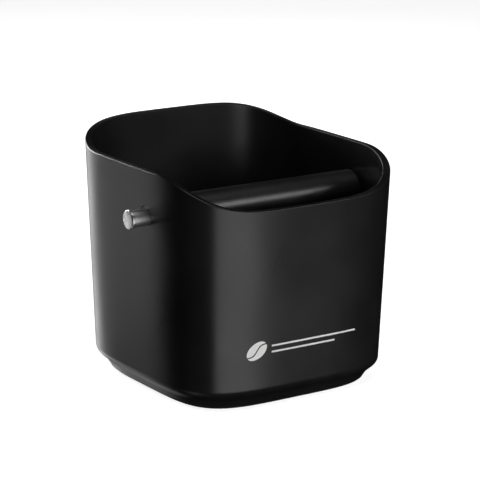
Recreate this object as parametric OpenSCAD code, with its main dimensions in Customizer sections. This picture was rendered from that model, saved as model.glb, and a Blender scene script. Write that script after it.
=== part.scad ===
// Knock box for spent coffee: a moulded open box with a rubber-sleeved bar
// that turns on a steel rod, and the rod pulls out through the left wall.
// The origin is on the table under the middle of the box, +X runs along the
// bar to the right, -Y is the low front and +Z is up.

/* [Box] */
// Width and depth across the side rims
box_w = 142; // [130:1:156]
// Height of the level side rims
side_h = 127; // [120:1:134]
// Height of the front rim
front_h = 110; // [106:1:116]
// Height of the back rim
back_h = 138.5; // [134:0.5:146]
// Thickness of the walls and the floor
wall_t = 3.5; // [2.8:0.1:4]
// Lean of the walls from upright, in degrees
draft = 2; // [1:0.1:3]
// How square the plan is, 2 is round and higher is squarer
squareness = 4.3; // [3.6:0.1:6]

/* [Foot of the box] */
// Radius that turns the wall under into the foot
turn_r = 6; // [4:0.5:8]
// Height at which the wall starts to turn under
turn_z = 12.5; // [11:0.5:16]
// Height of the break between the sloping skirt and the steeper foot
break_z = 5.5; // [4:0.5:7]
// Lean of the foot below the break, in degrees from upright
foot_lean = 28; // [20:1:40]
// Thickness of the rubber base pad
pad_t = 2.4; // [2:0.1:3]
// How far the pad stands out under the box
pad_proud = 0.8; // [0.6:0.1:1.2]

/* [Bar] */
// Diameter over the rubber sleeve
bar_d = 19.8; // [17:0.1:24]
// Thickness of the rubber sleeve
sleeve_t = 2.5; // [1.5:0.1:3]
// Thickness of the core tube
core_t = 1.2; // [1:0.1:1.5]
// Radius on the ends of the sleeve
sleeve_end_r = 2.5; // [1:0.1:2.5]
// Height of the bar's axis
bar_z = 101.5; // [96:0.5:104]
// Depth of the bar's axis, less than 0 is forward of the middle
bar_y = -18.3; // [-24:0.1:0]

/* [Rod] */
// Diameter of the steel rod
rod_d = 9.2; // [8:0.1:10]
// Diameter of the head on the rod
head_d = 10.6; // [10.4:0.1:12]
// Thickness of the head
head_t = 1.6; // [1.4:0.1:3]
// How far the rod and its head stand out of the left wall
rod_proud = 11.2; // [8:0.1:20]
// Wall of the bushes that guide the rod
bush_t = 1.3; // [1:0.1:2]

/* [Hidden] */

// Round features are cut this finely
round_fn = 96;
// Columns around the plan of the box, and steps in its small and large rounds
columns = 96;
edge_steps = 3;
arc_steps = 6;

// The rim is level along the sides, falls to the front and rises to the back
front_fall_y = -26 * box_w / 142;
back_rise_y = 35.4 * box_w / 142;
// Radii on the outer and inner edge of the rim
rim_out_r = 0.7;
rim_in_r = 0.5;
// Radius between the inside walls and the floor
floor_r = 10;
// Radius on the bottom edge of the foot
foot_edge_r = 0.6;
floor_z = pad_t + wall_t;

// Gap that a sliding steel rod runs with, and the squeeze rings' smaller gap
rod_gap = 0.08;
ring_gap = 0.03;
// Gap between the sleeve's ends and the inside walls
bar_end_gap = 0.8;
// Section radius of the rings and the clearance in their grooves
ring_r = 0.55;
groove_gap = 0.05;
// Plastic left outside the blind socket in the right wall, and the rod tip's gap to its end
socket_skin = 1.1;
tip_gap = 0.3;
// How far the bushes' ends lie under the wall's faces, and the floor of the cup
bush_sink = 0.2;
cup_floor = 0.2;
// Spigot on the rod that the head is pressed on
spigot_r = 2.6;
spigot_l = 1;
// Bevels on the head's face and back, and on the rod's tip
face_bevel = 0.5;
back_bevel = 0.2;
tip_bevel = 0.6;
// Plug in each end of the core tube
plug_l = 14;
plug_flange_t = 1.6;
// Tread rings under the base pad: half widths, groove width and depth
tread_rings = [24, 38, 52];
tread_w = 1.6;
tread_depth = 0.6;
pad_side_gap = 0.15;
// How far the pad's edge is in from the foot's flat underside
pad_inset = 0.4;

half_top = box_w / 2;
rod_r = rod_d / 2;
bore_r = rod_r + rod_gap;
bush_r = bore_r + bush_t;
bar_r = bar_d / 2;
core_r = bar_r - sleeve_t;
core_in_r = core_r - core_t;
ring_mid_r = bore_r - ring_gap - ring_r;

// Half width of the outside at a height, with the walls' draft
function half_at(z) = half_top - tan(draft) * (side_h - z);
// Reach of the unit outline along x at a distance v across it
function outline_x(v) = pow(1 - pow(abs(v), squareness), 1 / squareness);
// Point of the unit outline in the direction of an angle
function outline(a) =
    let (s = pow(pow(abs(cos(a)), squareness) + pow(abs(sin(a)), squareness), -1 / squareness))
    [s * cos(a), s * sin(a)];
function outline_points(half) = [for (i = [0:columns - 1]) half * outline(i * 360 / columns)];
// Height of the rim where the wall stands at depth y
function rim_z(y) =
    y < front_fall_y
    ? side_h - (side_h - front_h) * pow((front_fall_y - y) / (half_top + front_fall_y), 2)
    : y > back_rise_y
    ? side_h + (back_h - side_h) * pow((y - back_rise_y) / (half_top - back_rise_y), 2)
    : side_h;

// Distance in from the drafted wall at the end of the turn, the break and the foot
turn_in = turn_r * (1 - cos(45));
turn_end_z = turn_z - turn_r * sin(45);
break_in = turn_in + turn_end_z - break_z;
foot_in = break_in + (break_z - pad_proud - foot_edge_r) * tan(foot_lean);
pad_half = half_at(0) - foot_in - foot_edge_r - pad_inset;

// Inside faces of the side walls where the rod crosses them
wall_y_factor = outline_x(bar_y / half_at(bar_z));
wall_out_x = half_at(bar_z) * wall_y_factor;
wall_in_x = (half_at(bar_z) - wall_t) * wall_y_factor;
bar_half = wall_in_x - bar_end_gap;
socket_x = wall_out_x - socket_skin;
head_x = -wall_out_x - rod_proud;
tip_x = socket_x - tip_gap;
left_ring_x = -wall_out_x + wall_t / 2;
right_ring_x = tip_x - tip_bevel - 1.5 * ring_r;

// Profile of the shell as rings of [distance in, height above the base, share of the rim's height]
under_rings = [for (k = [0:edge_steps])
    let (a = k * 90 / edge_steps)
    [foot_in + foot_edge_r * (1 - sin(a)), pad_proud + foot_edge_r * (1 - cos(a)), 0]];
turn_rings = [for (k = [0:edge_steps])
    let (a = 45 - k * 45 / edge_steps)
    [turn_r * (1 - cos(a)), turn_z - turn_r * sin(a), 0]];
rim_out_rings = [for (k = [0:edge_steps])
    let (a = k * 90 / edge_steps)
    [rim_out_r * (1 - cos(a)), -rim_out_r * (1 - sin(a)), 1]];
rim_in_rings = [for (k = [0:edge_steps])
    let (a = k * 90 / edge_steps)
    [wall_t - rim_in_r * (1 - sin(a)), -rim_in_r * (1 - cos(a)), 1]];
floor_rings = [for (k = [0:arc_steps])
    let (a = k * 90 / arc_steps)
    [wall_t + floor_r * (1 - cos(a)), floor_z + floor_r * (1 - sin(a)), 0]];
shell_rings = concat(under_rings, [[break_in, break_z, 0]], turn_rings, rim_out_rings,
                     rim_in_rings, floor_rings);

module ring_loft(rings) {
    count = len(rings);
    points = [for (r = rings, i = [0:columns - 1])
        let (
            p = outline(i * 360 / columns),
            z = r[1] + r[2] * rim_z(half_top * p[1]),
            half = half_at(z) - r[0]
        ) [half * p[0], half * p[1], z]];
    sides = [for (k = [0:count - 2], i = [0:columns - 1])
        let (j = (i + 1) % columns)
        [k * columns + i, (k + 1) * columns + i, (k + 1) * columns + j, k * columns + j]];
    bottom = [for (i = [0:columns - 1]) i];
    top = [for (i = [0:columns - 1]) (count - 1) * columns + columns - 1 - i];
    polyhedron(points, concat([bottom], sides, [top]));
}

module along_x(x, r, l) {
    translate([x, bar_y, bar_z])
        rotate([0, 90, 0])
            cylinder(r = r, h = l, $fn = round_fn);
}

// Solid of revolution about the bar's axis from points of [radius, x]
module turned(profile) {
    translate([0, bar_y, bar_z])
        rotate([0, 90, 0])
            rotate_extrude($fn = round_fn)
                polygon(profile);
}

// Points of a quarter round about [r, x] of a profile, from angle a0 to a1
function quarter(r, x, radius, a0, a1) =
    [for (k = [0:arc_steps]) let (a = a0 + (a1 - a0) * k / arc_steps)
        [r + radius * cos(a), x + radius * sin(a)]];

module body_shell() {
    color("#1c1c1d")
        difference() {
            ring_loft(shell_rings);
            linear_extrude(height = pad_t)
                polygon(outline_points(pad_half + pad_side_gap));
            along_x(-wall_out_x - wall_t, bush_r, 3 * wall_t);
            along_x(wall_in_x - wall_t, bush_r, socket_x - wall_in_x + wall_t);
        }
}

module base_pad() {
    color("#101011")
        difference() {
            linear_extrude(height = pad_t)
                polygon(outline_points(pad_half));
            for (half = tread_rings)
                translate([0, 0, -tread_depth])
                    linear_extrude(height = 2 * tread_depth)
                        difference() {
                            polygon(outline_points(half));
                            polygon(outline_points(half - tread_w));
                        }
        }
}

// Sleeve pressed into the hole in the left wall
module left_bush() {
    bush_x = -wall_out_x + bush_sink;
    color("#19191a")
        difference() {
            along_x(bush_x, bush_r, wall_t - 2 * bush_sink);
            along_x(bush_x - 1, bore_r, wall_t + 2);
        }
}

// Cup pressed into the blind socket in the right wall
module right_bush() {
    cup_x = wall_in_x + bush_sink;
    color("#19191a")
        difference() {
            along_x(cup_x, bush_r, socket_x - cup_x);
            along_x(cup_x - 1, bore_r, socket_x - cup_floor - cup_x + 1);
        }
}

module ring_groove(x) {
    turned([[ring_mid_r - ring_r - groove_gap, x - ring_r - groove_gap],
            [rod_r + 1, x - ring_r - groove_gap],
            [rod_r + 1, x + ring_r + groove_gap],
            [ring_mid_r - ring_r - groove_gap, x + ring_r + groove_gap]]);
}

// Rod with a spigot for the head, grooves for the rings and a bevelled tip
module pull_rod() {
    shaft_x = head_x + head_t;
    color("#b9babb")
        difference() {
            union() {
                turned([[0, shaft_x], [rod_r, shaft_x], [rod_r, tip_x - tip_bevel],
                        [rod_r - tip_bevel, tip_x], [0, tip_x]]);
                along_x(shaft_x - spigot_l, spigot_r, spigot_l + 1);
            }
            ring_groove(left_ring_x);
            ring_groove(right_ring_x);
        }
}

// Disc with bevelled edges that a finger and thumb grip
module rod_head() {
    r = head_d / 2;
    back_x = head_x + head_t;
    color("#c9cacb")
        difference() {
            turned([[0, head_x], [r - face_bevel, head_x], [r, head_x + face_bevel],
                    [r, back_x - back_bevel], [r - back_bevel, back_x], [0, back_x]]);
            along_x(back_x - spigot_l, spigot_r, spigot_l + 1);
        }
}

module o_ring(x) {
    color("#0d0d0e")
        translate([x, bar_y, bar_z])
            rotate([0, 90, 0])
                rotate_extrude($fn = round_fn)
                    translate([ring_mid_r, 0])
                        circle(r = ring_r, $fn = 32);
}

module left_o_ring() {
    o_ring(left_ring_x);
}

module right_o_ring() {
    o_ring(right_ring_x);
}

module bar_core() {
    core_half = bar_half - plug_flange_t;
    color("#2a2a2b")
        difference() {
            along_x(-core_half, core_r, 2 * core_half);
            along_x(-core_half - 1, core_in_r, 2 * core_half + 2);
        }
}

module bar_sleeve() {
    color("#161617")
        turned(concat([[core_r, -bar_half]],
                      quarter(bar_r - sleeve_end_r, -bar_half + sleeve_end_r, sleeve_end_r, -90, 0),
                      quarter(bar_r - sleeve_end_r, bar_half - sleeve_end_r, sleeve_end_r, 0, 90),
                      [[core_r, bar_half]]));
}

// Plug with a flange that covers the tube's end, on the side given by its sign
module bar_plug(side) {
    flange_x = side * bar_half;
    color("#202021")
        turned([[bore_r, flange_x], [core_r, flange_x],
                [core_r, side * (bar_half - plug_flange_t)],
                [core_in_r, side * (bar_half - plug_flange_t)],
                [core_in_r, side * (bar_half - plug_l)], [bore_r, side * (bar_half - plug_l)]]);
}

module left_bar_plug() {
    bar_plug(-1);
}

module right_bar_plug() {
    bar_plug(1);
}

body_shell();
base_pad();
left_bush();
right_bush();
pull_rod();
rod_head();
left_o_ring();
right_o_ring();
bar_core();
bar_sleeve();
left_bar_plug();
right_bar_plug();
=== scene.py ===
"""Knock box for spent coffee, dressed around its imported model.

The box, its base pad, the rubber sleeve, the steel rod and the rod's head are
modelled smooth and stand for their CAD nodes. The bushes, the squeeze rings,
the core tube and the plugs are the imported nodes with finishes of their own.
All sizes are in metres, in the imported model's frame.
"""

import logging
import math
from collections.abc import Callable
from dataclasses import dataclass, field
from enum import Enum

import bmesh
import bpy
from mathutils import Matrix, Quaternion, Vector

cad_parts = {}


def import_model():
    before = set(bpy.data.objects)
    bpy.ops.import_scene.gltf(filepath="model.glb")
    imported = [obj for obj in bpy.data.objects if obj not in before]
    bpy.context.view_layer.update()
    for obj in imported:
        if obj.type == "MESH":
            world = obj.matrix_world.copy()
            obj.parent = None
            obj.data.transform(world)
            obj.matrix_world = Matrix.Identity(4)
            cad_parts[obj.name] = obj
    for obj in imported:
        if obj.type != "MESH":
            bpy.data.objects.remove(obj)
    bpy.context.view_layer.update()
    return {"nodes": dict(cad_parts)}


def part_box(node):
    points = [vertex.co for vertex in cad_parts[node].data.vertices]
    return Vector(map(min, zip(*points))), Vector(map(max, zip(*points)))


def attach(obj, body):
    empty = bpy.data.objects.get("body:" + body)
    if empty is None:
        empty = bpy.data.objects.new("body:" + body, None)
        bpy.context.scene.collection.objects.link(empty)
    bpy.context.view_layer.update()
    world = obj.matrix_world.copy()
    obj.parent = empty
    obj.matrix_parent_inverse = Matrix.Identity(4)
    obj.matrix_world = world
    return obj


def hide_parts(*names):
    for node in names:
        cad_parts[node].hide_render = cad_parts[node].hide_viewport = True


LOG = logging.getLogger("knock_box")
MM = 0.001
LIGHT_AIM = Vector((0.0, 0.0, 0.07))

Colour = tuple[float, float, float]


class Body(Enum):
    """The bodies that pieces ride on."""

    BOX = "box"
    ROD = "rod"
    BAR = "bar"


class Slot(Enum):
    """The record's material slots."""

    BOX = "box_plastic"
    BASE = "base_rubber"
    BUSH = "bush_plastic"
    ROD = "rod_steel"
    HEAD = "head_steel"
    RING = "ring_rubber"
    CORE = "core_plastic"
    SLEEVE = "sleeve_rubber"
    PLUG = "plug_plastic"


class Lay(Enum):
    """Which way the fine lines of a brushed metal run."""

    ROUND = "round"
    RADIAL = "radial"


# ---------------------------------------------------------------- finishes


class Wiring:
    """A material's node tree, with short ways to add and join nodes."""

    def __init__(self, name: str) -> None:
        """Starts an empty material with an output and a principled shader.

        Args:
            name: The material's name.
        """
        self.material = bpy.data.materials.new(name)
        self.material.use_nodes = True
        self.tree = self.material.node_tree
        self.tree.nodes.clear()
        self.output = self.add("ShaderNodeOutputMaterial")
        self.shader = self.add("ShaderNodeBsdfPrincipled")
        self.join(self.shader.outputs["BSDF"], self.output.inputs["Surface"])
        self.place = self.add("ShaderNodeTexCoord").outputs["Object"]

    def add(self, kind: str) -> bpy.types.Node:
        """Adds a node of a kind and returns it."""
        return self.tree.nodes.new(kind)

    def join(self, start: bpy.types.NodeSocket, end: bpy.types.NodeSocket) -> None:
        """Links an output socket to an input socket."""
        self.tree.links.new(start, end)

    def shade(self, **constants: object) -> None:
        """Sets constants on the shader's own sockets.

        Args:
            constants: Values by the socket's name, with _ for each space.
        """
        for name, value in constants.items():
            self.shader.inputs[name.replace("_", " ")].default_value = value

    def askew(self) -> bpy.types.NodeSocket:
        """Gives the object coordinates turned off the walls' own directions.

        Returns:
            The socket with the turned coordinates.
        """
        turned = self.add("ShaderNodeMapping")
        turned.inputs["Rotation"].default_value = (0.53, 0.71, 0.37)
        self.join(self.place, turned.inputs["Vector"])
        return turned.outputs["Vector"]

    def moved(self, shift: Vector, scale: Vector) -> bpy.types.NodeSocket:
        """Gives the object coordinates after a shift and a scale.

        Args:
            shift: Where the pattern's own middle lies.
            scale: How many times the pattern repeats in a metre, each way.

        Returns:
            The socket with the changed coordinates.
        """
        centred = self.add("ShaderNodeVectorMath")
        centred.operation = "SUBTRACT"
        centred.inputs[1].default_value = shift
        self.join(self.place, centred.inputs[0])
        scaled = self.add("ShaderNodeVectorMath")
        scaled.operation = "MULTIPLY"
        scaled.inputs[1].default_value = scale
        self.join(centred.outputs[0], scaled.inputs[0])
        return scaled.outputs[0]

    def noise(
        self, where: bpy.types.NodeSocket, scale: float, detail: float = 2.0
    ) -> bpy.types.NodeSocket:
        """Adds a cloudy pattern.

        Args:
            where: The coordinates that it reads.
            scale: How fine it is.
            detail: How many finer layers it has.

        Returns:
            The socket with its value, from 0 to 1.
        """
        cloud = self.add("ShaderNodeTexNoise")
        cloud.inputs["Scale"].default_value = scale
        cloud.inputs["Detail"].default_value = detail
        self.join(where, cloud.inputs["Vector"])
        return cloud.outputs["Fac"]

    def spread(
        self, value: bpy.types.NodeSocket, low: float, high: float
    ) -> bpy.types.NodeSocket:
        """Stretches a pattern's middle range onto new limits.

        Args:
            value: The pattern.
            low: The result where the pattern is low.
            high: The result where the pattern is high.

        Returns:
            The socket with the stretched value.
        """
        span = self.add("ShaderNodeMapRange")
        span.inputs["From Min"].default_value = 0.3
        span.inputs["From Max"].default_value = 0.7
        span.inputs["To Min"].default_value = low
        span.inputs["To Max"].default_value = high
        self.join(value, span.inputs["Value"])
        return span.outputs["Result"]

    def blend(
        self, share: bpy.types.NodeSocket, first: Colour, second: Colour
    ) -> bpy.types.NodeSocket:
        """Mixes two colours by a pattern.

        Args:
            share: The pattern, 0 for the first colour and 1 for the second.
            first: The first colour.
            second: The second colour.

        Returns:
            The socket with the mixed colour.
        """
        mix = self.add("ShaderNodeMix")
        mix.data_type = "RGBA"
        mix.inputs[6].default_value = (*first, 1.0)
        mix.inputs[7].default_value = (*second, 1.0)
        self.join(share, mix.inputs[0])
        return mix.outputs[2]

    def relief(
        self,
        height: bpy.types.NodeSocket,
        depth: float,
        strength: float,
        under: bpy.types.NodeSocket | None = None,
    ) -> bpy.types.NodeSocket:
        """Adds a relief that the light sees.

        Args:
            height: The pattern that gives the height.
            depth: How deep it goes, in metres.
            strength: How strongly it shows.
            under: The relief that this one lies on.

        Returns:
            The socket with the changed normal.
        """
        bump = self.add("ShaderNodeBump")
        bump.inputs["Distance"].default_value = depth
        bump.inputs["Strength"].default_value = strength
        self.join(height, bump.inputs["Height"])
        if under is not None:
            self.join(under, bump.inputs["Normal"])
        return bump.outputs["Normal"]


@dataclass(frozen=True)
class Moulded:
    """Spark-textured plastic or satin rubber, straight from its mould."""

    name: str
    colour: Colour
    colour_high: Colour
    rough_low: float
    rough_high: float
    grain: float = 850.0
    grain_depth: float = 0.00005
    swell_depth: float = 0.0002
    specular: float = 0.5
    pore_share: float = 0.42
    pore_depth_share: float = 1.4
    cloud_scale: float = 34.0
    swell_scale: float = 22.0
    grain_gloss: float = 0.2
    swell_strength: float = 0.25
    pore_strength: float = 0.16
    grain_strength: float = 0.26

    def make(self) -> bpy.types.Material:
        """Builds the material: cloudy colour, uneven gloss, grain and a faint swell.

        Returns:
            The new material.
        """
        w = Wiring(self.name)
        where = w.askew()
        fine = w.noise(where, self.grain, 1.0)
        pores = w.noise(where, self.grain * self.pore_share, 2.0)
        cloud = w.noise(where, self.cloud_scale, 4.0)
        swell = w.noise(where, self.swell_scale, 1.0)
        w.join(
            w.blend(w.spread(cloud, 0.0, 1.0), self.colour, self.colour_high),
            w.shader.inputs["Base Color"],
        )
        gloss = w.add("ShaderNodeMath")
        gloss.operation = "ADD"
        span = self.grain_gloss * (self.rough_high - self.rough_low)
        w.join(w.spread(cloud, self.rough_low, self.rough_high), gloss.inputs[0])
        w.join(w.spread(fine, -span, span), gloss.inputs[1])
        w.join(gloss.outputs[0], w.shader.inputs["Roughness"])
        pore_depth = self.grain_depth * self.pore_depth_share
        wavy = w.relief(swell, self.swell_depth, self.swell_strength)
        pored = w.relief(pores, pore_depth, self.pore_strength, wavy)
        grained = w.relief(fine, self.grain_depth, self.grain_strength, pored)
        w.join(grained, w.shader.inputs["Normal"])
        w.shade(Specular_IOR_Level=self.specular)
        return w.material


@dataclass(frozen=True)
class Brushed:
    """Turned stainless steel with fine tool lines round the bar's axis."""

    name: str
    axis: Vector
    lay: Lay
    colour: Colour = (0.60, 0.60, 0.595)
    colour_high: Colour = (0.70, 0.70, 0.695)
    rough_low: float = 0.34
    rough_high: float = 0.46
    line_strength: float = 0.3
    line_depth: float = 0.00002
    line_pitch: float = 9000.0
    round_drift: float = 18.0
    smudge_scale: float = 160.0
    smudge_gloss: tuple[float, float] = (-0.02, 0.05)

    def lines(self, w: Wiring) -> bpy.types.NodeSocket:
        """Gives the tool lines, along x on a shaft and outwards on a face.

        Args:
            w: The material's wiring.

        Returns:
            The socket with the lines' value.
        """
        if self.lay is Lay.ROUND:
            stretch = Vector((self.line_pitch, self.round_drift, self.round_drift))
            return w.noise(w.moved(self.axis, stretch), 1.0, 3.0)
        flat = w.moved(self.axis, Vector((0.0, 1.0, 1.0)))
        reach = w.add("ShaderNodeVectorMath")
        reach.operation = "LENGTH"
        w.join(flat, reach.inputs[0])
        along = w.add("ShaderNodeCombineXYZ")
        scaled = w.add("ShaderNodeMath")
        scaled.operation = "MULTIPLY"
        scaled.inputs[1].default_value = self.line_pitch
        w.join(reach.outputs["Value"], scaled.inputs[0])
        w.join(scaled.outputs[0], along.inputs[0])
        return w.noise(along.outputs[0], 1.0, 3.0)

    def make(self) -> bpy.types.Material:
        """Builds the material: bright metal, tool lines and a few smudges.

        Returns:
            The new material.
        """
        w = Wiring(self.name)
        lines = self.lines(w)
        smudge = w.noise(w.place, self.smudge_scale, 3.0)
        w.join(
            w.blend(w.spread(lines, 0.0, 1.0), self.colour, self.colour_high),
            w.shader.inputs["Base Color"],
        )
        gloss = w.add("ShaderNodeMath")
        gloss.operation = "ADD"
        w.join(w.spread(lines, self.rough_low, self.rough_high), gloss.inputs[0])
        w.join(w.spread(smudge, *self.smudge_gloss), gloss.inputs[1])
        w.join(gloss.outputs[0], w.shader.inputs["Roughness"])
        w.join(w.relief(lines, self.line_depth, self.line_strength), w.shader.inputs["Normal"])
        w.shade(Metallic=1.0)
        return w.material


@dataclass(frozen=True)
class Ink:
    """White pad-printing ink, thin enough to show the grain under it."""

    name: str
    colour: Colour = (0.90, 0.90, 0.89)
    colour_high: Colour = (0.95, 0.95, 0.94)
    grain: float = 900.0
    grain_depth: float = 0.00003
    grain_strength: float = 0.3
    rough_low: float = 0.45
    rough_high: float = 0.6

    def make(self) -> bpy.types.Material:
        """Builds the material: matte white with a slightly uneven cover.

        Returns:
            The new material.
        """
        w = Wiring(self.name)
        cover = w.noise(w.askew(), self.grain, 3.0)
        w.join(
            w.blend(w.spread(cover, 0.0, 1.0), self.colour, self.colour_high),
            w.shader.inputs["Base Color"],
        )
        w.join(w.spread(cover, self.rough_low, self.rough_high), w.shader.inputs["Roughness"])
        grained = w.relief(cover, self.grain_depth, self.grain_strength)
        w.join(grained, w.shader.inputs["Normal"])
        return w.material


def dress(piece: bpy.types.Object, material: bpy.types.Material) -> None:
    """Gives a piece one material in place of any that it has.

    Args:
        piece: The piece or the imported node.
        material: The material that all its faces take.
    """
    if piece.material_slots:
        for place in piece.material_slots:
            place.material = material
    else:
        piece.data.materials.append(material)


def dress_packed(nodes: dict, names: tuple[str, ...], finish: Moulded) -> None:
    """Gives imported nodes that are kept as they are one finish.

    Args:
        nodes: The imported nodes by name.
        names: The nodes that take the finish.
        finish: The finish.
    """
    material = finish.make()
    for name in names:
        dress(nodes[name], material)
        LOG.info("packed node %s: %s", name, material.name)


# ---------------------------------------------------------------- bench work


class Bench:
    """Work on one mesh at a time with Blender's own tools."""

    @staticmethod
    def clear() -> None:
        """Leaves edit mode and deselects everything."""
        if bpy.context.object and bpy.context.object.mode != "OBJECT":
            bpy.ops.object.mode_set(mode="OBJECT")
        bpy.ops.object.select_all(action="DESELECT")

    @staticmethod
    def pick(piece: bpy.types.Object) -> None:
        """Selects one piece alone and makes it the active one.

        Args:
            piece: The piece.
        """
        Bench.clear()
        piece.select_set(True)
        bpy.context.view_layer.objects.active = piece

    @staticmethod
    def disc(name: str, count: int, radius: float, at: Vector, across_x: bool) -> bpy.types.Object:
        """Adds a filled circle and opens it for editing.

        Args:
            name: The piece's name.
            count: The number of its corners.
            radius: Its radius.
            at: Its middle.
            across_x: Whether it faces along x, or else along z.

        Returns:
            The new object, in edit mode with its face selected.
        """
        Bench.clear()
        turn = (0.0, math.pi / 2, 0.0) if across_x else (0.0, 0.0, 0.0)
        bpy.ops.mesh.primitive_circle_add(
            vertices=count, radius=radius, fill_type="NGON", location=at, rotation=turn
        )
        piece = bpy.context.object
        piece.name = piece.data.name = name
        bpy.ops.object.transform_apply(location=True, rotation=True, scale=True)
        bpy.ops.object.mode_set(mode="EDIT")
        bpy.ops.mesh.select_mode(type="FACE")
        bpy.ops.mesh.select_all(action="SELECT")
        return piece

    @staticmethod
    def place_selected(piece: bpy.types.Object, put: Callable[[Vector], Vector]) -> None:
        """Moves the selected corners of the mesh that is open.

        Args:
            piece: The object in edit mode.
            put: Gives a corner's new place from its old one.
        """
        mesh = bmesh.from_edit_mesh(piece.data)
        for corner in mesh.verts:
            if corner.select:
                corner.co = put(corner.co)
        bmesh.update_edit_mesh(piece.data)

    @staticmethod
    def select_edges(piece: bpy.types.Object, wanted: Callable[[Vector, Vector], bool]) -> None:
        """Selects edges of the mesh that is open by where they lie.

        Args:
            piece: The object in edit mode.
            wanted: Says from an edge's two ends whether it is taken.
        """
        bpy.ops.mesh.select_mode(type="EDGE")
        bpy.ops.mesh.select_all(action="DESELECT")
        mesh = bmesh.from_edit_mesh(piece.data)
        for edge in mesh.edges:
            if wanted(edge.verts[0].co, edge.verts[1].co):
                edge.select_set(True)
        bmesh.update_edit_mesh(piece.data)

    @staticmethod
    def close(piece: bpy.types.Object, angle: float = 35.0) -> None:
        """Turns all faces outwards, leaves edit mode and shades the piece.

        Args:
            piece: The object in edit mode.
            angle: Edges flatter than this many degrees are shaded smooth.
        """
        bpy.ops.mesh.select_all(action="SELECT")
        bpy.ops.mesh.normals_make_consistent(inside=False)
        Bench.pick(piece)
        bpy.ops.object.shade_smooth_by_angle(angle=math.radians(angle))
        piece.select_set(False)

    @staticmethod
    def finish_modifier(piece: bpy.types.Object, name: str) -> None:
        """Applies one of a piece's modifiers.

        Args:
            piece: The piece.
            name: The modifier's name.
        """
        Bench.pick(piece)
        bpy.ops.object.modifier_apply(modifier=name)
        piece.select_set(False)


# ---------------------------------------------------------------- lofted pieces


@dataclass(frozen=True)
class Plan:
    """Outline seen from above: a rounded square whose walls lean outwards."""

    half_top: float
    top_z: float
    draft: float = 0.0
    squareness: float = 4.3

    def half_at(self, z: float) -> float:
        """Gives the half width of the drafted wall at a height."""
        return self.half_top - math.tan(self.draft) * (self.top_z - z)

    def unit(self, point: Vector) -> Vector:
        """Gives the point of the unit outline in the direction of a point.

        Args:
            point: The point, anywhere but on the plan's axis.

        Returns:
            The outline's point, at height 0.
        """
        reach = math.hypot(point.x, point.y)
        c, s = abs(point.x / reach), abs(point.y / reach)
        scale = (c**self.squareness + s**self.squareness) ** (-1 / self.squareness)
        return Vector((point.x / reach * scale, point.y / reach * scale, 0.0))

    def reach_x(self, across: float) -> float:
        """Gives the unit outline's reach along x at a distance across it."""
        return (1 - abs(across) ** self.squareness) ** (1 / self.squareness)


@dataclass(frozen=True)
class Ring:
    """One level of a lofted piece: distance in from the wall, and height."""

    inset: float
    height: float
    on_rim: bool = False


@dataclass(frozen=True)
class Rim:
    """Line of the rim: level at the sides, low in front and high at the back."""

    side: float = 127.0 * MM
    front: float = 110.0 * MM
    back: float = 138.5 * MM
    fall_y: float = -26.0 * MM
    rise_y: float = 35.4 * MM
    reach: float = 71.0 * MM

    def height(self, y: float) -> float:
        """Gives the rim's height where the wall stands at a depth.

        Args:
            y: The depth, from the front to the back.

        Returns:
            The height.
        """
        if y < self.fall_y:
            share = (self.fall_y - y) / (self.reach + self.fall_y)
            return self.side - (self.side - self.front) * share**2
        if y > self.rise_y:
            share = (y - self.rise_y) / (self.reach - self.rise_y)
            return self.side + (self.back - self.side) * share**2
        return self.side


def arc_rings(
    inset: float, height: float, radius: float, start: float, end: float, steps: int, on_rim: bool
) -> list[Ring]:
    """Gives the rings of a rounded edge.

    Args:
        inset: Distance in of the round's middle.
        height: Height of the round's middle.
        radius: The round's radius.
        start: The first angle in degrees, 0 outwards and 90 upwards.
        end: The last angle in degrees.
        steps: The number of steps between them.
        on_rim: Whether the height is measured from the rim.

    Returns:
        The rings from the first angle to the last.
    """
    rings = []
    for step in range(steps + 1):
        angle = math.radians(start + (end - start) * step / steps)
        rings.append(
            Ring(inset - radius * math.cos(angle), height + radius * math.sin(angle), on_rim)
        )
    return rings


def loft(
    name: str, plan: Plan, rings: list[Ring], columns: int, rim: Rim | None = None
) -> bpy.types.Object:
    """Extrudes a disc from ring to ring and leaves the closed piece open for editing.

    Args:
        name: The piece's name.
        plan: The outline that every ring follows.
        rings: The rings from the first closed end to the last.
        columns: The number of corners round the outline.
        rim: The line that rings on the rim are measured from.

    Returns:
        The new object, in edit mode.
    """
    piece = Bench.disc(name, columns, plan.half_top, Vector((0, 0, rings[0].height)), False)
    for number, ring in enumerate(rings):
        if number:
            bpy.ops.mesh.extrude_region_move()

        def put(old: Vector, ring: Ring = ring) -> Vector:
            """Gives a corner's place on this ring.

            Args:
                old: The corner's place before.
                ring: The ring.

            Returns:
                The new place.
            """
            unit = plan.unit(old)
            z = ring.height
            if ring.on_rim and rim is not None:
                z += rim.height(plan.half_top * unit.y)
            half = plan.half_at(z) - ring.inset
            return Vector((half * unit.x, half * unit.y, z))

        Bench.place_selected(piece, put)
    return piece


# ---------------------------------------------------------------- turned pieces


@dataclass(frozen=True)
class Stop:
    """One corner of a turned profile: place along the bar, radius and rounding."""

    x: float
    r: float
    soft: float = 0.0


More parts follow.
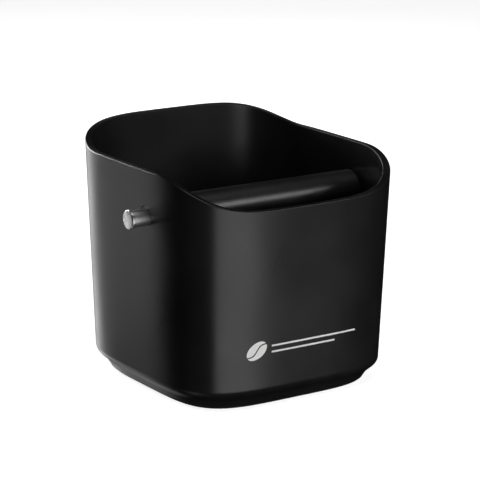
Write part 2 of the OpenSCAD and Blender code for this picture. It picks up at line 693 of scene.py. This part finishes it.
@dataclass
class Lathe:
    """Turns profiles about the bar's axis."""

    axis_y: float
    axis_z: float
    around: int = 128
    weld: float = 0.002 * MM
    near_x: float = 0.004 * MM
    near_r: float = 0.01 * MM

    def point(self, x: float) -> Vector:
        """Gives the point of the axis at a place along the bar."""
        return Vector((x, self.axis_y, self.axis_z))

    def radius_of(self, corner: Vector) -> float:
        """Gives a corner's distance from the axis."""
        return math.hypot(corner.y - self.axis_y, corner.z - self.axis_z)

    def turn(self, name: str, stops: list[Stop], hollow: bool = False) -> bpy.types.Object:
        """Turns a profile into a closed piece, left open for editing.

        Args:
            name: The piece's name.
            stops: The profile from one end to the other.
            hollow: Whether the profile goes round a bore and back to its start.

        Returns:
            The new object, in edit mode.
        """
        first = stops[0]
        piece = Bench.disc(name, self.around, first.r, self.point(first.x), True)
        if hollow:
            bpy.ops.mesh.delete(type="ONLY_FACE")
            bpy.ops.mesh.select_mode(type="EDGE")
            bpy.ops.mesh.select_all(action="SELECT")
        last = first
        for stop in [*stops[1:], first] if hollow else stops[1:]:
            if hollow:
                bpy.ops.mesh.extrude_edges_move()
            else:
                bpy.ops.mesh.extrude_region_move()
            grow = stop.r / last.r
            bpy.ops.transform.resize(
                value=(1.0, grow, grow), center_override=self.point(last.x)
            )
            bpy.ops.transform.translate(value=(stop.x - last.x, 0.0, 0.0))
            last = stop
        bpy.ops.mesh.select_all(action="SELECT")
        if hollow:
            bpy.ops.mesh.remove_doubles(threshold=self.weld)
            bpy.ops.mesh.select_all(action="SELECT")
        bpy.ops.mesh.normals_make_consistent(inside=False)
        for stop in stops:
            if stop.soft > 0:
                self.soften(piece, stop)
        return piece

    def soften(self, piece: bpy.types.Object, stop: Stop) -> None:
        """Rounds the sharp ring that a stop made.

        Args:
            piece: The object in edit mode.
            stop: The stop, with the radius of its round.
        """

        def on_ring(a: Vector, b: Vector) -> bool:
            """Says whether an edge is part of the ring.

            Args:
                a: The edge's first end.
                b: Its second end.

            Returns:
                True if both ends lie on the ring.
            """
            return all(
                abs(end.x - stop.x) < self.near_x
                and abs(self.radius_of(end) - stop.r) < self.near_r
                for end in (a, b)
            )

        Bench.select_edges(piece, on_ring)
        steps = 8 if stop.soft > MM else 3
        bpy.ops.mesh.bevel(
            offset=stop.soft, segments=steps, affect="EDGES", clamp_overlap=False
        )


# ---------------------------------------------------------------- the box


@dataclass
class Box:
    """The moulded box with its rod holes, and the rubber pad under it."""

    plan: Plan = field(
        default_factory=lambda: Plan(71.0 * MM, 127.0 * MM, math.radians(2.0))
    )
    rim: Rim = field(default_factory=Rim)
    wall: float = 3.5 * MM
    columns: int = 288
    pad_top: float = 2.4 * MM
    pad_proud: float = 0.8 * MM
    pad_gap: float = 0.15 * MM
    turn_r: float = 6.0 * MM
    turn_z: float = 12.5 * MM
    break_z: float = 5.5 * MM
    foot_lean: float = math.radians(28.0)
    foot_edge_r: float = 0.6 * MM
    rim_out_r: float = 0.7 * MM
    rim_in_r: float = 0.5 * MM
    floor_r: float = 10.0 * MM
    hole_r: float = 5.98 * MM
    hole_edge: float = 0.10 * MM
    socket_skin: float = 1.1 * MM
    treads: tuple[float, ...] = (52.0 * MM, 38.0 * MM, 24.0 * MM)
    tread_w: float = 1.6 * MM
    tread_depth: float = 0.6 * MM
    tread_edge: float = 0.12 * MM
    pad_edge_r: float = 0.35 * MM
    pad_top_edge: float = 0.2 * MM
    wall_rings: int = 16
    shade_angle: float = math.radians(33)
    shade_weight: int = 60

    def pad_half(self) -> float:
        """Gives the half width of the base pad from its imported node."""
        low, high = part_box("base_pad")
        return (high.x - low.x) / 2

    def side_at(self, y: float, z: float, inset: float) -> float:
        """Gives how far out a side wall's face stands at a depth and a height."""
        half = self.plan.half_at(z)
        return (half - inset) * self.plan.reach_x(y / half)

    def shell_rings(self) -> list[Ring]:
        """Gives the shell's rings from the pad's recess round to the floor inside.

        Returns:
            The rings in order.
        """
        r = self.foot_edge_r
        turn_in = self.turn_r * (1 - math.cos(math.radians(45)))
        turn_end = self.turn_z - self.turn_r * math.sin(math.radians(45))
        break_in = turn_in + turn_end - self.break_z
        rise = self.break_z - self.pad_proud - r
        foot_in = break_in + rise * math.tan(self.foot_lean)
        recess = self.pad_half() + self.pad_gap
        rings = [
            Ring(self.plan.half_at(self.pad_top) - recess, self.pad_top),
            Ring(self.plan.half_at(self.pad_proud) - recess, self.pad_proud),
        ]
        rings += arc_rings(foot_in + r, self.pad_proud + r, r, -90, 0, 5, False)
        rings += self.sloped(
            (foot_in, self.pad_proud + r), (break_in + 0.25 * MM, self.break_z - 0.45 * MM), 3
        )
        rings += [
            Ring(break_in + 0.03 * MM, self.break_z - 0.06 * MM),
            Ring(break_in - 0.32 * MM, self.break_z + 0.32 * MM),
        ]
        rings += arc_rings(self.turn_r, self.turn_z, self.turn_r, -45, 0, 8, False)
        rings += self.upright(0.0, self.turn_z, self.rim_out_r, True)
        rings += arc_rings(self.rim_out_r, -self.rim_out_r, self.rim_out_r, 0, 90, 6, True)
        middle = self.wall - self.rim_in_r
        rings += [Ring((self.rim_out_r + middle) / 2, 0.0, True)]
        rings += arc_rings(middle, -self.rim_in_r, self.rim_in_r, 90, 180, 4, True)
        floor = self.pad_top + self.wall
        rings += self.upright(self.wall, floor + self.floor_r, self.rim_in_r, False)
        r = self.floor_r
        rings += arc_rings(self.wall + r, floor + r, r, 0, -90, 10, False)
        rings += [Ring(24 * MM, floor), Ring(46 * MM, floor)]
        return rings

    @staticmethod
    def sloped(
        first: tuple[float, float], last: tuple[float, float], steps: int
    ) -> list[Ring]:
        """Gives evenly spaced rings after a first place and up to a last.

        Args:
            first: Inset and height that the rings start after.
            last: Inset and height of the last ring.
            steps: The number of rings.

        Returns:
            The rings in order.
        """
        return [
            Ring(*(a + (b - a) * k / steps for a, b in zip(first, last)))
            for k in range(1, steps + 1)
        ]

    def upright(self, inset: float, low: float, under_rim: float, rising: bool) -> list[Ring]:
        """Gives the rings of a wall, closer together where the rim bends.

        Args:
            inset: Distance in from the drafted wall.
            low: The wall's lowest height.
            under_rim: How far under the rim the wall ends.
            rising: Whether the rings go upwards, or else downwards.

        Returns:
            The wall's rings without its two ends.
        """
        top = self.rim.front - 12 * MM
        count = self.wall_rings
        rings = [Ring(inset, low + (top - low) * k / count) for k in range(1, count + 1)]
        rings.append(Ring(inset, -under_rim - 3 * MM, True))
        return rings if rising else rings[::-1]

    def cutter(self, lathe: Lathe) -> bpy.types.Object:
        """Turns the solid that opens the rod's hole and its blind socket.

        Args:
            lathe: The lathe on the bar's axis.

        Returns:
            The solid, which is removed after the cut.
        """
        y, z = lathe.axis_y, lathe.axis_z
        out_x, in_x = self.side_at(y, z, 0.0), self.side_at(y, z, self.wall)
        edge, r = self.hole_edge, self.hole_r
        outside, inside = 4 * MM, 3 * MM
        stops = [
            Stop(-out_x - outside, r + edge + outside),
            Stop(-out_x + edge, r),
            Stop(-in_x - edge, r),
            Stop(-in_x + inside, r + edge + inside),
            Stop(in_x - inside, r + edge + inside),
            Stop(in_x + edge, r),
            Stop(out_x - self.socket_skin, r),
        ]
        solid = lathe.turn("rod_hole_cutter", stops)
        Bench.close(solid)
        return solid

    def build_shell(self, lathe: Lathe) -> bpy.types.Object:
        """Lofts the shell and cuts the rod's holes.

        Args:
            lathe: The lathe on the bar's axis.

        Returns:
            The finished shell.
        """
        shell = loft("box_shell", self.plan, self.shell_rings(), self.columns, self.rim)
        Bench.close(shell)
        solid = self.cutter(lathe)
        cut = shell.modifiers.new("rod_holes", "BOOLEAN")
        cut.operation = "DIFFERENCE"
        cut.solver = "EXACT"
        cut.object = solid
        Bench.finish_modifier(shell, cut.name)
        bpy.data.objects.remove(solid)
        Bench.pick(shell)
        bpy.ops.object.shade_smooth_by_angle(angle=self.shade_angle)
        even = shell.modifiers.new("even_normals", "WEIGHTED_NORMAL")
        even.keep_sharp = True
        even.weight = self.shade_weight
        Bench.finish_modifier(shell, even.name)
        return shell

    def build_pad(self) -> bpy.types.Object:
        """Lofts the base pad with its tread rings.

        Returns:
            The finished pad.
        """
        half = self.pad_half()
        plan = Plan(half, 0.0)
        r, e, top_edge = self.pad_edge_r, self.tread_edge, self.pad_top_edge
        rings = [Ring(3 * MM, self.pad_top), Ring(top_edge, self.pad_top)]
        rings += [Ring(0.0, self.pad_top - top_edge), Ring(0.0, self.pad_top / 2)]
        rings += arc_rings(r, r, r, 0, -90, 4, False)
        for tread in self.treads:
            outer, inner = half - tread, half - tread + self.tread_w
            rings += [
                Ring(outer - e, 0.0),
                Ring(outer, e),
                Ring(outer + e, self.tread_depth - e),
                Ring(outer + 2 * e, self.tread_depth),
                Ring(inner - 2 * e, self.tread_depth),
                Ring(inner - e, self.tread_depth - e),
                Ring(inner, e),
                Ring(inner + e, 0.0),
            ]
        rings += [Ring(half - 10 * MM, 0.0)]
        pad = loft("base_pad_treaded", plan, rings, self.columns // 2)
        Bench.close(pad, 50)
        return pad

    def dress(self, shell: bpy.types.Object, pad: bpy.types.Object, nodes: dict) -> None:
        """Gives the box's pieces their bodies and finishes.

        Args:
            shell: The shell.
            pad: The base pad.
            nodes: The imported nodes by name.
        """
        plastic = Moulded(
            "box_plastic_black",
            (0.0095, 0.0095, 0.0098),
            (0.0135, 0.0135, 0.0139),
            0.28,
            0.36,
            specular=0.40,
        ).make()
        rubber = Moulded(
            "base_rubber_black", (0.012, 0.012, 0.012), (0.020, 0.020, 0.019), 0.62, 0.75
        ).make()
        settle(shell, Body.BOX, Slot.BOX, plastic, "body_shell")
        settle(pad, Body.BOX, Slot.BASE, rubber, "base_pad")
        bush = Moulded(
            "bush_plastic_black", (0.0055, 0.0055, 0.0058), (0.0085, 0.0085, 0.0089), 0.30, 0.38
        )
        dress_packed(nodes, ("left_bush", "right_bush"), bush)


# ---------------------------------------------------------------- the print


@dataclass
class FrontPrint:
    """A coffee bean and two pinstripes, printed low on the front wall."""

    box: Box
    left: float = -38.0 * MM
    right: float = 33.0 * MM
    height: float = 33.5 * MM
    bean_half: float = 6.6 * MM
    bean_fat: float = 0.66
    crease: float = 0.75 * MM
    line: float = 1.0 * MM
    lift: float = 0.03 * MM
    thick: float = 0.02 * MM
    tilt: float = math.radians(32)
    gap: float = 2.6 * MM
    stripe_off: float = 1.7 * MM
    short_by: float = 14 * MM
    wave: float = 0.16
    reach: float = 0.985

    def front_y(self, x: float, z: float) -> float:
        """Gives where the front wall's face stands at a place across and a height."""
        half = self.box.plan.half_at(z)
        return -half * self.box.plan.reach_x(x / half) - self.lift

    def bean_half_outline(self, side: int) -> list[tuple[float, float]]:
        """Gives one half of the bean about its middle, above or below its crease.

        Args:
            side: 1 for the upper half and -1 for the lower.

        Returns:
            The outline's points.
        """
        steps = 24
        a, b = self.bean_half, self.bean_half * self.bean_fat
        crease = [
            (
                a * self.reach * (2 * k / steps - 1),
                self.wave * a * math.sin(math.pi * (2 * k / steps - 1)) + side * self.crease / 2,
            )
            for k in range(steps + 1)
        ]
        shell = [
            (a * math.cos(math.pi * k / steps), side * b * math.sin(math.pi * k / steps))
            for k in range(1, steps)
        ]
        return crease + shell

    def build(self) -> bpy.types.Object:
        """Lays the bean and the pinstripes on the wall.

        Returns:
            The finished print.
        """
        mesh = bmesh.new()
        middle = self.left + self.bean_half
        cos, sin = math.cos(self.tilt), math.sin(self.tilt)
        for side in (1, -1):
            corners = []
            for u, v in self.bean_half_outline(side):
                x = middle + u * cos - v * sin
                z = self.height + u * sin + v * cos
                corners.append(mesh.verts.new((x, self.front_y(x, z), z)))
            mesh.faces.new(corners)
        start = middle + self.bean_half + self.gap
        self.stripe(mesh, start, self.right, self.height + self.stripe_off)
        self.stripe(mesh, start, self.right - self.short_by, self.height - self.stripe_off)
        data = bpy.data.meshes.new("front_print")
        mesh.to_mesh(data)
        mesh.free()
        piece = bpy.data.objects.new("front_print", data)
        bpy.context.scene.collection.objects.link(piece)
        Bench.pick(piece)
        bpy.ops.object.mode_set(mode="EDIT")
        bpy.ops.mesh.select_all(action="SELECT")
        bpy.ops.mesh.quads_convert_to_tris()
        bpy.ops.mesh.extrude_region_shrink_fatten()
        Bench.place_selected(piece, lambda old: old + Vector((0.0, self.thick, 0.0)))
        Bench.close(piece)
        return piece

    def stripe(self, mesh: bmesh.types.BMesh, start: float, end: float, z: float) -> None:
        """Adds one pinstripe that follows the wall.

        Args:
            mesh: The print's mesh.
            start: Where the stripe starts across the wall.
            end: Where it ends.
            z: The height of its middle.
        """
        steps = 20
        rows = []
        for half in (-self.line / 2, self.line / 2):
            row = []
            for k in range(steps + 1):
                x = start + (end - start) * k / steps
                row.append(mesh.verts.new((x, self.front_y(x, z + half), z + half)))
            rows.append(row)
        for k in range(steps):
            mesh.faces.new((rows[0][k], rows[0][k + 1], rows[1][k + 1], rows[1][k]))

    def dress(self, piece: bpy.types.Object) -> None:
        """Gives the print its body and its ink.

        Args:
            piece: The print.
        """
        dress(piece, Ink("print_ink_white").make())
        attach(piece, Body.BOX.value)
        LOG.info("%s rides on %s", piece.name, Body.BOX.value)


# ---------------------------------------------------------------- the rod


@dataclass
class Rod:
    """The steel rod with its head and its two squeeze rings."""

    lathe: Lathe
    spigot_r: float = 2.6 * MM
    tip_bevel: float = 0.6 * MM
    groove_half: float = 0.6 * MM
    groove_r: float = 3.5 * MM
    face_bevel: float = 0.5 * MM
    back_bevel: float = 0.2 * MM
    spigot_gap: float = 0.01 * MM
    groove_soft: float = 0.08 * MM
    tip_soft: float = 0.12 * MM
    rings: tuple[str, ...] = ("left_o_ring", "right_o_ring")

    def ring_places(self) -> list[float]:
        """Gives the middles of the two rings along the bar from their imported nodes.

        Returns:
            The left ring's place and the right ring's.
        """
        places = []
        for name in self.rings:
            low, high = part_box(name)
            places.append((low.x + high.x) / 2)
        return places

    def build_shaft(self) -> bpy.types.Object:
        """Turns the shaft with its spigot, grooves and bevelled tip.

        Returns:
            The finished shaft.
        """
        low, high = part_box("pull_rod")
        _, head_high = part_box("rod_head")
        r = (high.z - low.z) / 2
        stops = [
            Stop(low.x, self.spigot_r),
            Stop(head_high.x, self.spigot_r),
            Stop(head_high.x, r),
        ]
        for place in self.ring_places():
            stops += [
                Stop(place - self.groove_half, r, self.groove_soft),
                Stop(place - self.groove_half, self.groove_r),
                Stop(place + self.groove_half, self.groove_r),
                Stop(place + self.groove_half, r, self.groove_soft),
            ]
        stops += [
            Stop(high.x - self.tip_bevel, r, self.tip_soft),
            Stop(high.x, r - self.tip_bevel, self.tip_soft),
        ]
        shaft = self.lathe.turn("pull_rod_turned", stops)
        Bench.close(shaft, 30)
        return shaft

    def build_head(self) -> bpy.types.Object:
        """Turns the head with its bevelled face and its socket for the spigot.

        Returns:
            The finished head.
        """
        low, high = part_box("rod_head")
        shaft_low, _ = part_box("pull_rod")
        r = (high.z - low.z) / 2
        stops = [
            Stop(low.x, r - self.face_bevel, 0.06 * MM),
            Stop(low.x + self.face_bevel, r, 0.10 * MM),
            Stop(high.x - self.back_bevel, r, 0.06 * MM),
            Stop(high.x, r - self.back_bevel),
            Stop(high.x, self.spigot_r + self.spigot_gap),
            Stop(shaft_low.x, self.spigot_r + self.spigot_gap),
        ]
        head = self.lathe.turn("rod_head_turned", stops)
        Bench.close(head, 20)
        return head

    def dress(self, shaft: bpy.types.Object, head: bpy.types.Object, nodes: dict) -> None:
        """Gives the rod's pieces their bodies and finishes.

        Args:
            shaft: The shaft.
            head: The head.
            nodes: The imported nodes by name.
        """
        axis = self.lathe.point(0.0)
        turned = Brushed("rod_steel_turned", axis, Lay.ROUND)
        settle(shaft, Body.ROD, Slot.ROD, turned.make(), "pull_rod")
        faced = Brushed(
            "head_steel_faced",
            axis,
            Lay.RADIAL,
            colour=(0.80, 0.80, 0.795),
            colour_high=(0.88, 0.88, 0.87),
            rough_low=0.24,
            rough_high=0.30,
            line_strength=0.04,
        )
        settle(head, Body.ROD, Slot.HEAD, faced.make(), "rod_head")
        ring = Moulded(
            "ring_rubber_black", (0.008, 0.008, 0.008), (0.013, 0.013, 0.013), 0.42, 0.52
        )
        dress_packed(nodes, self.rings, ring)


# ---------------------------------------------------------------- the bar


@dataclass
class Bar:
    """The rubber sleeve on its core tube, with a plug in each end."""

    lathe: Lathe
    core_r: float = 7.4 * MM
    end_r: float = 2.5 * MM

    def build_sleeve(self) -> bpy.types.Object:
        """Turns the sleeve with its rounded ends.

        Returns:
            The finished sleeve.
        """
        low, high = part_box("bar_sleeve")
        r = (high.z - low.z) / 2
        stops = [
            Stop(low.x, self.core_r),
            Stop(low.x, r, self.end_r),
            *[Stop(low.x + (high.x - low.x) * k / 8, r) for k in range(1, 8)],
            Stop(high.x, r, self.end_r),
            Stop(high.x, self.core_r),
        ]
        sleeve = self.lathe.turn("bar_sleeve_rubber", stops, hollow=True)
        Bench.close(sleeve, 40)
        return sleeve

    def dress(self, sleeve: bpy.types.Object, nodes: dict) -> None:
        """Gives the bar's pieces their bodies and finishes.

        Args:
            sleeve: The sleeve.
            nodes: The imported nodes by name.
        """
        rubber = Moulded(
            "sleeve_rubber_satin",
            (0.0090, 0.0090, 0.0092),
            (0.0130, 0.0130, 0.0133),
            0.33,
            0.40,
            grain=900.0,
            grain_depth=0.00004,
            specular=1.0,
        ).make()
        settle(sleeve, Body.BAR, Slot.SLEEVE, rubber, "bar_sleeve")
        core = Moulded(
            "core_plastic_grey", (0.022, 0.022, 0.022), (0.030, 0.030, 0.030), 0.45, 0.55
        )
        plug = Moulded(
            "plug_plastic_black", (0.013, 0.013, 0.0132), (0.018, 0.018, 0.0182), 0.40, 0.50
        )
        dress_packed(nodes, ("bar_core",), core)
        dress_packed(nodes, ("left_bar_plug", "right_bar_plug"), plug)


def settle(
    piece: bpy.types.Object, body: Body, slot: Slot, material: bpy.types.Material, node: str
) -> None:
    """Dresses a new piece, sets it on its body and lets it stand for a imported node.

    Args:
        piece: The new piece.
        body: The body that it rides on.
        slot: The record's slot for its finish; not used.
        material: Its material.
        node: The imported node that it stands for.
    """
    dress(piece, material)
    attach(piece, body.value)
    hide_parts(node)
    LOG.info("%s rides on %s: %d faces", piece.name, body.value, len(piece.data.polygons))


# ---------------------------------------------------------------- the studio


@dataclass(frozen=True)
class Lamp:
    """A soft rectangular light that is itself unseen, turned to the box."""

    name: str
    turn: float
    rise: float
    width: float
    height: float
    power: float
    away: float = 1.2

    def build(self, aim: Vector) -> None:
        """Hangs the light round a point and turns it to that point.

        Args:
            aim: The point that it is hung round and lights.
        """
        data = bpy.data.lights.new(self.name, "AREA")
        data.shape = "RECTANGLE"
        data.size, data.size_y = self.width, self.height
        data.energy = self.power
        turn, rise = math.radians(self.turn), math.radians(self.rise)
        level = Vector((math.sin(turn), -math.cos(turn), 0.0)) * math.cos(rise)
        out = level + Vector((0.0, 0.0, math.sin(rise)))
        lamp = bpy.data.objects.new(self.name, data)
        lamp.location = aim + out * self.away
        lamp.rotation_euler = out.to_track_quat("Z", "Y").to_euler()
        lamp.visible_camera = False
        bpy.context.scene.collection.objects.link(lamp)


@dataclass
class Studio:
    """Camera, floor and lights."""

    lens: float = 165.73
    eye: Vector = field(default_factory=lambda: Vector((-0.66171, -0.98983, 0.38482)))
    aim: Vector = field(default_factory=lambda: Vector((0.00446, 0.00313, 0.07394)))
    roll: float = math.radians(0.3756)
    sky: float = 0.0
    floor_glow: float = 0.85
    room: float = 12.0

    def build_camera(self) -> None:
        """Sets the camera on its tripod and makes it the scene's own."""
        data = bpy.data.cameras.new("camera")
        data.lens = self.lens
        data.sensor_width = 36.0
        data.clip_start, data.clip_end = 0.05, 50.0
        camera = bpy.data.objects.new("camera", data)
        camera.location = self.eye
        camera.rotation_mode = "QUATERNION"
        level = (self.aim - self.eye).to_track_quat("-Z", "Y")
        camera.rotation_quaternion = level @ Quaternion((0, 0, 1), self.roll)
        bpy.context.scene.collection.objects.link(camera)
        bpy.context.scene.camera = camera

    def build_floor(self) -> None:
        """Lays the pale floor that the box stands on, with plain walls far off."""
        Bench.clear()
        bpy.ops.mesh.primitive_cube_add(size=self.room, location=(0.0, 0.0, self.room / 2))
        bpy.ops.object.transform_apply(location=True, rotation=False, scale=False)
        bpy.ops.object.mode_set(mode="EDIT")
        bpy.ops.mesh.select_all(action="SELECT")
        bpy.ops.mesh.flip_normals()
        bpy.ops.object.mode_set(mode="OBJECT")
        floor = bpy.context.object
        floor.name = "floor"
        w = Wiring("floor_paint_white")
        tone = w.noise(w.place, 3.0, 2.0)
        paint = w.blend(tone, (0.86, 0.86, 0.86), (0.90, 0.90, 0.90))
        w.join(paint, w.shader.inputs["Base Color"])
        w.shade(Roughness=0.85, Specular_IOR_Level=0.1)
        w.shade(Emission_Color=(1.0, 1.0, 1.0, 1.0), Emission_Strength=self.floor_glow)
        dress(floor, w.material)
        floor.visible_glossy = False
        floor.visible_diffuse = False
        floor.visible_shadow = False
        floor.select_set(False)

    def build_lights(self) -> None:
        """Sets the air, dark unless given a sky, and hangs the soft lights."""
        scene = bpy.context.scene
        world = bpy.data.worlds.new("air")
        world.use_nodes = True
        ground = world.node_tree.nodes["Background"]
        ground.inputs["Color"].default_value = (1.0, 1.0, 1.0, 1.0)
        ground.inputs["Strength"].default_value = self.sky
        scene.world = world
        scene.view_settings.view_transform = "Standard"
        for lamp in self.lamps():
            lamp.build(LIGHT_AIM)

    @staticmethod
    def lamps() -> list[Lamp]:
        """Gives the soft lights, by their turn from the front and their rise.

        Returns:
            The lights, in the order in which they are hung.
        """
        return [
            Lamp("front_bounce", -3.0, -20.0, 1.30, 0.55, 5.1),
            Lamp("front_strip", 0.0, 10.0, 0.40, 0.40, 2.6),
            Lamp("front_right_strip", 33.0, 18.0, 0.30, 0.40, 1.8),
            Lamp("left_bounce", 262.0, -52.0, 0.50, 0.50, 0.4),
            Lamp("head_card", 214.0, -15.0, 0.20, 0.20, 0.15),
            Lamp("back_bounce", 185.0, -20.0, 0.50, 0.55, 2.0),
            Lamp("back_low_bounce", 175.0, -37.0, 0.50, 0.30, 0.24),
            Lamp("back_strip", 195.0, 8.0, 0.32, 0.55, 8.8),
            Lamp("back_high_strip", 197.0, 34.0, 0.30, 0.35, 1.6),
            Lamp("back_right_strip", 165.0, 8.0, 0.32, 0.55, 2.0),
            Lamp("top_panel", 10.0, 76.0, 0.60, 0.60, 2.8),
            Lamp("left_top_panel", 300.0, 62.0, 0.50, 0.50, 1.3),
        ]


def main() -> None:
    """Builds the knock box and its studio in order."""
    logging.basicConfig(level=logging.INFO, format="%(name)s: %(message)s")
    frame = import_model()
    nodes = frame["nodes"]
    studio = Studio()
    studio.build_camera()
    low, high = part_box("bar_sleeve")
    lathe = Lathe((low.y + high.y) / 2, (low.z + high.z) / 2)

    box = Box()
    box.dress(box.build_shell(lathe), box.build_pad(), nodes)
    label = FrontPrint(box)
    label.dress(label.build())
    rod = Rod(lathe)
    rod.dress(rod.build_shaft(), rod.build_head(), nodes)
    bar = Bar(lathe)
    bar.dress(bar.build_sleeve(), nodes)

    studio.build_floor()
    studio.build_lights()


if __name__ == "__main__":
    main()
